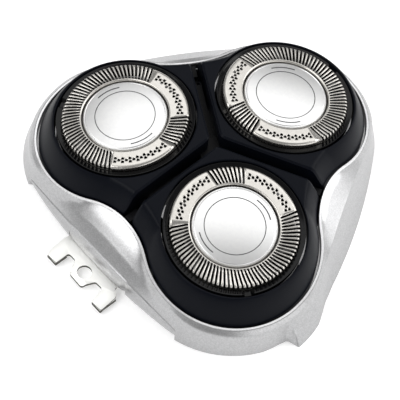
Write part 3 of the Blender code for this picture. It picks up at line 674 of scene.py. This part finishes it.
def trilobe_reach(angle, reach, waist):
    """Distance from the axis to the three-lobed outline, at an angle in degrees."""
    lobe_radius = reach - LOBE_CENTRE
    far = fillet_centre(lobe_radius, waist)
    off_lobe = abs((angle - 90.0 + 60.0) % 120.0 - 60.0)
    lobe_turn = math.radians(off_lobe)
    waist_turn = math.radians(60.0 - off_lobe)
    arc_x = far / 2.0 - LOBE_CENTRE
    arc_y = far * math.sin(math.pi / 3.0)
    share = lobe_radius / math.hypot(arc_x, arc_y) * (1 if far > 0 else -1)
    if lobe_turn <= math.atan2(arc_y * share, LOBE_CENTRE + arc_x * share):
        side = LOBE_CENTRE * math.sin(lobe_turn)
        return LOBE_CENTRE * math.cos(lobe_turn) + math.sqrt(lobe_radius ** 2 - side ** 2)
    root = math.sqrt((far - waist) ** 2 - (far * math.sin(waist_turn)) ** 2)
    return far * math.cos(waist_turn) + (-root if far > 0 else root)


def level_height(level, radius):
    """Height of a level, which runs straight from the waist to the lobes."""
    reach, lobe_z, waist, waist_z = level
    return waist_z + (lobe_z - waist_z) * (radius - waist) / (reach - waist)


# Petals

def hole_point(turn, radius, depth):
    """Point at a distance and depth from the tilted guard axis, in the lobe frame."""
    across = radius * math.sin(turn)
    along = radius * math.cos(turn)
    return Vector((across, LOBE_CENTRE + along * math.cos(TILT) - depth * math.sin(TILT),
                   GUARD_HEIGHT - along * math.sin(TILT) - depth * math.cos(TILT)))


def plane_height(y):
    """Height of the plane of the guard's top."""
    return GUARD_HEIGHT + (LOBE_CENTRE - y) * math.tan(TILT)


def crown_height(x, y):
    """Height of a petal's top: the guard's own plane, rolled over to the lip and eased along the grooves."""
    radius = math.hypot(x, y)
    angle = math.degrees(math.atan2(y, x))
    lip, beside = [trilobe_reach(angle + step, LIP_INNER[0], LIP_INNER[2]) for step in (0.0, 0.5)]
    lean = math.cos(math.atan2(beside - lip, lip * math.radians(0.5)))
    inside = max((lip - SEAT_GAP - radius) * lean, 0.0)
    land = max(math.hypot(x, y - LOBE_CENTRE) - HOLE_RADIUS - LAND_START, 0.0)
    # The least width keeps the roll from dividing by zero where the hole meets the edge
    width = max(min(ROLL_WIDTH, inside + land), 0.01)
    roll = max(1.0 - inside / width, 0.0) ** ROLL_POWER
    groove = y * math.sin(math.pi / 3.0) - abs(x) / 2.0 - GROOVE_WIDTH / 2.0
    top = plane_height(y) - PETAL_DROP
    height = top - roll * (top - level_height(LIP_INNER, lip))
    return height - EDGE_DROP * (1.0 - blend(groove, 0.0, EDGE_EASE))


def petal_reach(turn):
    """Distance from the lobe's centre to the petal's edge: lip outline and both grooves."""
    lobe_radius = LIP_INNER[0] - LOBE_CENTRE
    far = fillet_centre(lobe_radius, WAIST)
    fillet = far - WAIST + SEAT_GAP
    limits = []
    arc_x = far * math.sin(math.pi / 3.0)
    arc_y = far / 2.0 - LOBE_CENTRE
    if turn <= math.atan2(arc_x, arc_y):
        limits.append(lobe_radius - SEAT_GAP)
    else:
        along = arc_x * math.sin(turn) + arc_y * math.cos(turn)
        beside = arc_x ** 2 + arc_y ** 2 - along ** 2
        if beside < fillet ** 2:
            limits.append(along - math.sqrt(fillet ** 2 - beside))
    face = LOBE_CENTRE * math.sin(math.pi / 3.0) - GROOVE_WIDTH / 2.0
    for side in (1, -1):
        facing = side * math.sin(turn) / 2.0 - math.cos(turn) * math.sin(math.pi / 3.0)
        if facing > 0.0:
            limits.append(face / facing)
    # A high power picks the nearest limit and rounds the corner between two
    return sum(limit ** -CORNER_POWER for limit in limits) ** (-1.0 / CORNER_POWER)


def petal_point(row, column):
    """Point of the petal: round the hole wall, over the crown, and down the skirt."""
    turn = 2.0 * math.pi * column / PETAL_COLUMNS
    away = Vector((math.sin(turn), math.cos(turn), 0.0))
    edge = Vector((0.0, LOBE_CENTRE, 0.0)) + away * petal_reach(min(turn, 2.0 * math.pi - turn))
    edge.z = crown_height(edge.x, edge.y)
    if row == 0:
        return hole_point(turn, HOLE_RADIUS, PETAL_DEPTH)
    out, down = HOLE_EASE[min(row, len(HOLE_EASE)) - 1]
    start = hole_point(turn, HOLE_RADIUS + out, PETAL_DROP + down)
    index = row - len(HOLE_EASE) - 1
    if index < 0:
        return start
    if index < len(PETAL_SHARES):
        point = start.lerp(edge, PETAL_SHARES[index])
        return Vector((point.x, point.y, crown_height(point.x, point.y)))
    lift = (PETAL_FOOT_AT_LOCK - PETAL_FOOT) * (1.0 - blend(edge.xy.length, *LOCK_FADE))
    foot = min(edge.z - PETAL_SKIRT, plane_height(edge.y) - PETAL_DEPTH, PETAL_FOOT + lift)
    below = [(0.0, edge.z - EDGE_STEP), (0.0, foot), (PETAL_WALL, foot)]
    inset, height = below[index - len(PETAL_SHARES)]
    point = edge - away * inset
    return Vector((point.x, point.y, height))


def petal():
    """Petal with the two pivot stubs that reach into its grooves."""
    bm = warped(PETAL_ROWS, PETAL_COLUMNS, petal_point)
    root = PIN_REACH * math.sin(math.pi / 3.0) - GROOVE_WIDTH - STUB_ROOT
    end = PIN_REACH * math.sin(math.pi / 3.0) - STUB_END_GAP
    for side in (1, -1):
        place = Matrix.Translation((side * (root + end) / 2.0, PIN_REACH / 2.0, PIN_HEIGHT))
        rod(bm, STUB_RADIUS, end - root, place @ Matrix.Rotation(math.pi / 2.0, 4, "Y"), segments=24)
    return bm


# Housing

def tab_flare(angle):
    """Outward flare of the pointed tab on the skirt's edge."""
    beyond = (angle - LOBES["right"]) % 360.0
    for (start, low), (end, high) in zip(TAB, TAB[1:]):
        if start <= beyond < end:
            return low + (high - low) * (beyond - start) / (end - start)
    return 0.0


def off_hinge(angle):
    """Degrees between an angle and the hinge."""
    return min(abs(angle - HINGE), 360.0 - abs(angle - HINGE))


def in_grip(angle):
    """Whether an angle lies between the ends of the grip."""
    return off_hinge(angle) < GRIP_ENDS[0 if HINGE - 180.0 < angle < HINGE else 1]


def level_point(level, angle, shift=(0.0, 0.0), inset=0.0, flare=0.0):
    """Reach and height of a level at an angle; its shift fades away from the hinge."""
    reach, _, waist, _ = level
    radius = trilobe_reach(angle, reach, waist)
    near = 1.0 - blend(off_hinge(angle), *HINGE_FADE)
    moved = radius + near * shift[0] + flare * tab_flare(angle) - (inset if in_grip(angle) else 0.0)
    return Vector((moved, level_height(level, radius) + near * shift[1]))


def ridge_point(angle, crease, edge):
    """Ridge of the grip, nearly straight across the hinge side; elsewhere half-way down the skirt."""
    if not in_grip(angle):
        return (crease + edge) / 2.0
    turn = math.radians(off_hinge(angle))
    share = (RIDGE_REACH * math.tan(turn) / RIDGE_HALF) ** 2
    return Vector(((RIDGE_REACH - RIDGE_RETREAT * share) / math.cos(turn),
                   RIDGE_HEIGHT - RIDGE_FALL * share))


def curve(before, start, end, after, share):
    """Catmull-Rom curve from start to end."""
    square, cube = share ** 2, share ** 3
    return (start * 2.0 + (end - before) * share
            + (before * 2.0 - start * 5.0 + end * 4.0 - after) * square
            + (start * 3.0 - before - end * 3.0 + after) * cube) / 2.0


def bulged(start, end, share, bulge):
    """Point of a shallow arc from start to end."""
    across = (end - start).normalized()
    return start.lerp(end, share) + Vector((-across.y, across.x)) * bulge * 4.0 * share * (1.0 - share)


def housing_point(row, column):
    """Point of the housing wall: over the lip, down the outside and up the inside."""
    angle = HOUSING_ANGLES[column]
    off_waist = 60.0 - abs((angle - 30.0) % 120.0 - 60.0)
    at_hinge = off_hinge(angle) < 60.0
    swell = blend(off_waist, *SWELL_FADE)
    lip_in = level_point(LIP_INNER, angle)
    lip_out = level_point(LIP_OUTER, angle)
    hollow = level_point(HOLLOW, angle, shift=HINGE_SHIFT) + HOLLOW_SWELL * swell
    crease = level_point(FOOT, angle, flare=FOOT_FLARE) + FOOT_SWELL * swell
    edge = level_point(SKIRT, angle, inset=GRIP_INSET, flare=1.0)
    ridge = ridge_point(angle, crease, edge)
    if off_hinge(angle) < MOUTH_END:
        flare = MOUTH_FLARE * (1.0 - blend(off_hinge(angle), MOUTH_EASE, MOUTH_END))
        edge = Vector((edge.x + flare, MOUTH_TOP))
    outside = [lip_out, hollow, crease, ridge, edge]
    steps = len(UPPER_SHARES)
    if row <= UPPER_ROWS:
        index = min(max(row - 1, 0) // steps, STRIPS - 1)
        share = UPPER_SHARES[(row - 1) % steps] if row else 0.0
        start, end = outside[index:index + 2]
        before = outside[index - 1] if index else lip_out * 2.0 - hollow
        soft = curve(before, start, end, outside[index + 2], share)
        if index == STRIPS - 1:
            flat = bulged(start, end, share, FACET_BULGE)
        elif at_hinge:
            flat = curve(before, start, end, crease if index == 0 else crease * 2.0 - hollow, share)
        else:
            flat = start.lerp(end, share)
        point = soft.lerp(flat, 1.0 - blend(off_waist, FACET_STARTS[index], FACET_END))
    elif row <= UPPER_ROWS + len(LOWER_SHARES):
        share = LOWER_SHARES[row - UPPER_ROWS - 1]
        if in_grip(angle):
            point = bulged(ridge, edge, share, GRIP_BULGE * (edge - ridge).length)
            point.x -= LINE_DEPTH * blend(share, 0.0, LINE_SHARES[0]) * (1.0 - blend(share, *LINE_SHARES))
        else:
            point = curve(crease, ridge, edge, edge * 2.0 - ridge, share)
    else:
        inside = [edge - Vector((CORNER, 0.0)), edge - Vector((WALL, 0.0)),
                  lip_in - Vector((0.0, LIP_DEPTH)), lip_in - Vector((0.0, CORNER)),
                  lip_in + Vector((CORNER, 0.0)), lip_out + LIP_CROWN]
        point = inside[row - UPPER_ROWS - len(LOWER_SHARES) - 1]
    turn = math.radians(angle)
    return Vector((point.x * math.cos(turn), point.x * math.sin(turn), point.y))


# Hinge bracket

def bracket():
    """Stamped plate with two hooks and, between them, a tongue that is bent down."""
    bm = bmesh.new()
    corners = [(bm.verts.new((x, y, PLATE_TOP)), radius) for x, y, radius in PLATE]
    bm.faces.new([vert for vert, _ in corners])
    for size in sorted({radius for _, radius in corners if radius}):
        chosen = [vert for vert, radius in corners if radius == size]
        bmesh.ops.bevel(bm, geom=chosen, offset=size, affect="VERTICES", segments=5, profile=0.5,
                        clamp_overlap=True, material=-1)
    grown = bmesh.ops.extrude_face_region(bm, geom=bm.faces[:])["geom"]
    bmesh.ops.translate(bm, verts=[item for item in grown if isinstance(item, bmesh.types.BMVert)],
                        vec=(0.0, 0.0, -PLATE_SHEET))
    for y in TONGUE_CREASES:
        bmesh.ops.bisect_plane(bm, geom=bm.verts[:] + bm.edges[:] + bm.faces[:], plane_co=(0.0, y, 0.0),
                               plane_no=(0.0, 1.0, 0.0))
    for vert in bm.verts:
        if abs(vert.co.x) < TONGUE_HALF and vert.co.y < -TONGUE_BEND[0]:
            vert.co.z -= TONGUE_DROP * blend(-vert.co.y, *TONGUE_BEND)
    bmesh.ops.recalc_face_normals(bm, faces=bm.faces)
    return softened(bm, STAMPED_ROUND)


def bracket_folds():
    """Turned-down edges of the hooks and the barrel that rolls round the pin."""
    bm = bmesh.new()
    for low, high in FLANGES:
        joined(bm, block(low, high))
    bar = spun([(BARREL_BORE, -BARREL_HALF), (BARREL_RADIUS, -BARREL_HALF), (BARREL_RADIUS, BARREL_HALF),
                (BARREL_BORE, BARREL_HALF)], steps=32, closed=True)
    lying = Matrix.Translation(PIN_PLACE) @ Matrix.Rotation(math.pi / 2.0, 4, "Y")
    bmesh.ops.transform(bar, matrix=lying, verts=bar.verts)
    joined(bm, bar)
    return softened(bm, STAMPED_ROUND)


def tongue_hole():
    """Rod that cuts the tongue's round hole, from under the plate to above it."""
    bm = bmesh.new()
    rod(bm, TONGUE_HOLE_RADIUS, TONGUE_HOLE_REACH, Matrix.Translation(TONGUE_HOLE), segments=64)
    return bm


# Pieces

shell = piece("housing_shell", warped(SECTION_ROWS, len(HOUSING_ANGLES), housing_point), HEAD, "head",
              "silver_housing", SILVER, "housing", sharp=CREASE_SHARP)
shell.data.materials.append(LIP_HIGHLIGHT_SILVER)
# Upward faces high on the lip take the painted highlight
for face in shell.data.polygons:
    face.material_index = 1 if face.normal.z > LIP_FACING and face.center.z > LIP_LOWEST * MM else 0
for name, side in (("left", -1), ("right", 1)):
    low, high = sorted((side * LUG_SIDES[0], side * LUG_SIDES[1]))
    lug = softened(block((low, LUG_BACK, LUG_BOTTOM), (high, LUG_FRONT, LUG_TOP)), MOULDED_ROUND)
    piece("hinge_lug_" + name, lug, HEAD, "head", "silver_housing", SILVER)

plate = piece("bracket_plate", bracket(), HEAD, "bracket", "bracket_steel", BRACKET_STEEL, "hinge_bracket")
carve(plate, tongue_hole())
folds = piece("bracket_folds", bracket_folds(), HEAD, "bracket", "bracket_steel", BRACKET_STEEL)
for made in (plate, folds):
    made.data.materials.append(EDGE_AND_SIDE_SHADE)
    # Sideways faces of the hooks take the dark grey: cut edges, and painted shade on the turned-down faces
    for face in made.data.polygons:
        beyond = face.center.y < (AXIS_Y - DARK_SIDES_FROM) * MM
        face.material_index = 1 if abs(face.normal.z) < DARK_SIDES_FACING and beyond else 0

for name, angle in GROOVES.items():
    shelf = softened(block(SHELF_LOW, SHELF_HIGH), SHELF_ROUND)
    piece("carrier_shelf_" + name, shelf, lobe_frame(angle), "head", "black_plastic", CARRIER_BLACK)

shared = {"guard": guard(), "guard_cap": cap(), "seat_ring": seat_ring(), "petal": petal(),
          "shade_tray": shade_tray()}
for lobe, angle in LOBES.items():
    body = "float_" + lobe
    place = guard_frame(angle)
    track = piece("track_" + lobe, shared["guard"].copy(), place, body, "guard_steel", TRACK_STEEL,
                  "guard_" + lobe)
    # The guard's inside and slot walls take the painted shade
    sheet_metal(track, GUARD_SHEET, SLOT_SHADE_STEEL)
    piece("cap_" + lobe, shared["guard_cap"].copy(), place, body, "cap_metal", CAP_METAL,
          "guard_cap_" + lobe)
    piece("cap_ring_" + lobe, band(RING_RADIUS, RING_WIDTH), place, body, "cap_metal", INK)
    for index, start in enumerate(STROKE_STARTS[lobe]):
        stroke = band(STROKE_RADIUS, STROKE_WIDTH, STROKE_TURN, start)
        piece(f"cap_stroke_{lobe}_{index}", stroke, place, body, "cap_metal", INK)
    piece("seat_" + lobe, shared["seat_ring"].copy(), place, body, "gloss_black", GLOSS_BLACK,
          "seat_ring_" + lobe)
    # Black tray under each cutter: painted shade
    piece("shade_tray_" + lobe, shared["shade_tray"].copy(), place, body, "black_plastic", CARRIER_BLACK)
    piece("petal_skin_" + lobe, shared["petal"].copy(), lobe_frame(angle), body, "black_plastic", BLACK,
          "petal_" + lobe)
for bm in shared.values():
    bm.free()


def dress(node, material, width):
    """Give a CAD solid its finish and soften its edges."""
    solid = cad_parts[node]
    solid.data.materials.clear()
    solid.data.materials.append(material)
    weld = solid.modifiers.new("weld", "WELD")
    weld.merge_threshold = 0.002 * MM
    soft = solid.modifiers.new("soften", "BEVEL")
    soft.width = width * MM
    soft.segments = 2
    soft.limit_method = "ANGLE"
    soft.angle_limit = SHARP
    soft.harden_normals = False


dress("pivot_carrier", CARRIER_BLACK, width=0.12)
dress("lock_wheel", CARRIER_BLACK, width=0.15)
dress("retaining_frame", GREY, width=0.15)
dress("hinge_pin", BLADE_STEEL, width=0.1)
for lobe in LOBES:
    # The cutters take the steel painted dark as shade
    dress("cutter_" + lobe, BLADE_STEEL, width=0.05)
    dress("cutter_hub_" + lobe, CARRIER_BLACK, width=0.1)


# Floor, light and camera; the floor and the soft boxes are in metres

FLOOR_SIZE = 2.0
FLOOR_GAP = 0.00003
FLOOR_GLOW = 0.27
SKY_GLOW = 0.34
BOX_DISTANCE = 0.5
CAMERA_AZIMUTH = math.radians(42.1427)
CAMERA_ELEVATION = math.radians(58.4142)
CAMERA_ROLL = math.radians(7.5862)
CAMERA_DISTANCE = 362.758
CAMERA_ACROSS = 2.6903
CAMERA_UPWARD = 9.5431
FACED_HEIGHT = 13.183
LENS = 183.15


def direction(azimuth, elevation):
    """Unit vector from the head towards a point; azimuth 0 is at the hinge side."""
    return Vector((math.sin(azimuth) * math.cos(elevation), -math.cos(azimuth) * math.cos(elevation),
                   math.sin(elevation)))


def stage_floor():
    """White acrylic sheet lit from below, just under the skirt."""
    made, tree, shader = finish("backlit_white_acrylic", Roughness=0.9, Specular_IOR_Level=0.1,
                                Emission_Strength=FLOOR_GLOW, Emission_Color=linear("#FFFFFF"))
    varied(tree, shader, "Base Color", speckle(tree, 2.0, Detail=4.0).outputs["Fac"], "#F4F4F4", "#F7F7F7")
    bm = bmesh.new()
    bmesh.ops.create_grid(bm, x_segments=1, y_segments=1, size=FLOOR_SIZE)
    mesh = bpy.data.meshes.new("floor")
    bm.to_mesh(mesh)
    bm.free()
    mesh.materials.append(made)
    floor = bpy.data.objects.new("floor", mesh)
    floor.location.z = -FLOOR_GAP
    bpy.context.scene.collection.objects.link(floor)
    floor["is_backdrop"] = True


def sky():
    """Even white surroundings that fill the shadows."""
    world = bpy.data.worlds.new("studio")
    world.use_nodes = True
    surroundings = world.node_tree.nodes["Background"]
    surroundings.inputs["Color"].default_value = linear("#FFFFFF")
    surroundings.inputs["Strength"].default_value = SKY_GLOW
    bpy.context.scene.world = world


def soft_box(name, brightness, wide, high, azimuth, elevation):
    """Soft box that faces the head; its power follows from its brightness and size."""
    data = bpy.data.lights.new(name, "AREA")
    data.shape = "RECTANGLE"
    data.energy = brightness * math.pi * wide * high
    data.size = wide
    data.size_y = high
    made = bpy.data.objects.new(name, data)
    back = direction(math.radians(azimuth), math.radians(elevation))
    made.location = back * BOX_DISTANCE
    made.rotation_euler = back.to_track_quat("Z", "Y").to_euler()
    bpy.context.scene.collection.objects.link(made)


def photo_camera():
    """Camera at the photograph's angle, distance and slight roll."""
    back = direction(CAMERA_AZIMUTH, CAMERA_ELEVATION)
    right = Vector((0.0, 0.0, 1.0)).cross(back).normalized()
    up = back.cross(right)
    across = right * math.cos(CAMERA_ROLL) + up * math.sin(CAMERA_ROLL)
    upward = up * math.cos(CAMERA_ROLL) - right * math.sin(CAMERA_ROLL)
    faced = Vector((AXIS_X, AXIS_Y, FACED_HEIGHT))
    spot = back * CAMERA_DISTANCE - across * CAMERA_ACROSS - upward * CAMERA_UPWARD + faced
    data = bpy.data.cameras.new("camera")
    data.lens = LENS
    data.sensor_width = 36.0
    data.clip_start = 0.01
    made = bpy.data.objects.new("camera", data)
    made.matrix_world = Matrix.Translation(spot * MM) @ Matrix((across, upward, back)).transposed().to_4x4()
    bpy.context.scene.collection.objects.link(made)
    bpy.context.scene.camera = made


stage_floor()
photo_camera()
bpy.context.scene.view_settings.view_transform = "Standard"
soft_box("hinge_side_box", brightness=3.2, wide=0.5, high=0.26, azimuth=-27.0, elevation=47.0)
soft_box("back_box", brightness=1.34, wide=0.5, high=0.42, azimuth=222.0, elevation=60.0)
soft_box("far_side_box", brightness=3.2, wide=0.36, high=0.32, azimuth=154.0, elevation=32.0)
soft_box("right_box", brightness=1.6, wide=0.6, high=0.2, azimuth=95.0, elevation=16.0)
sky()

low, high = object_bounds()
